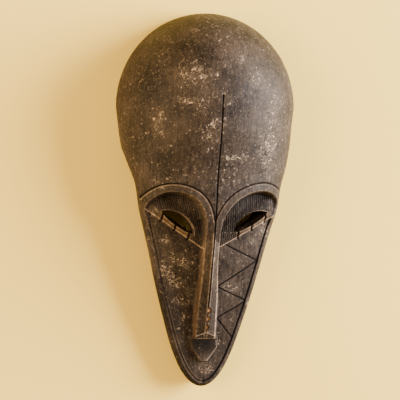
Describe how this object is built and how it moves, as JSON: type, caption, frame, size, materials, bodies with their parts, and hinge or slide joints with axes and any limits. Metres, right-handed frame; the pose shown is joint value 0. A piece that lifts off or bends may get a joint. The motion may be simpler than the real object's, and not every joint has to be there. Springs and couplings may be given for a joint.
{
  "type": "carved african mask",
  "caption": "Hollow wooden face mask with a high domed forehead, long ridged nose, slanted eye slits under arched brows, zigzag-cut cheeks and a pointed chin.",
  "frame": {"origin": "centre of the bounding box on the rim plane, which is the plane that the mask lies on", "axes": "+X across the face, +Y from the chin to the top of the dome, +Z out of the rim plane towards the front of the face"},
  "size_m": [0.217, 0.45, 0.1059],
  "materials": {
    "stained_wood": "dark brown-black stain, satin, worn on the edges with pale specks"
  },
  "bodies": {
    "root": {"mask": "stained_wood"}
  },
  "joints": []
}
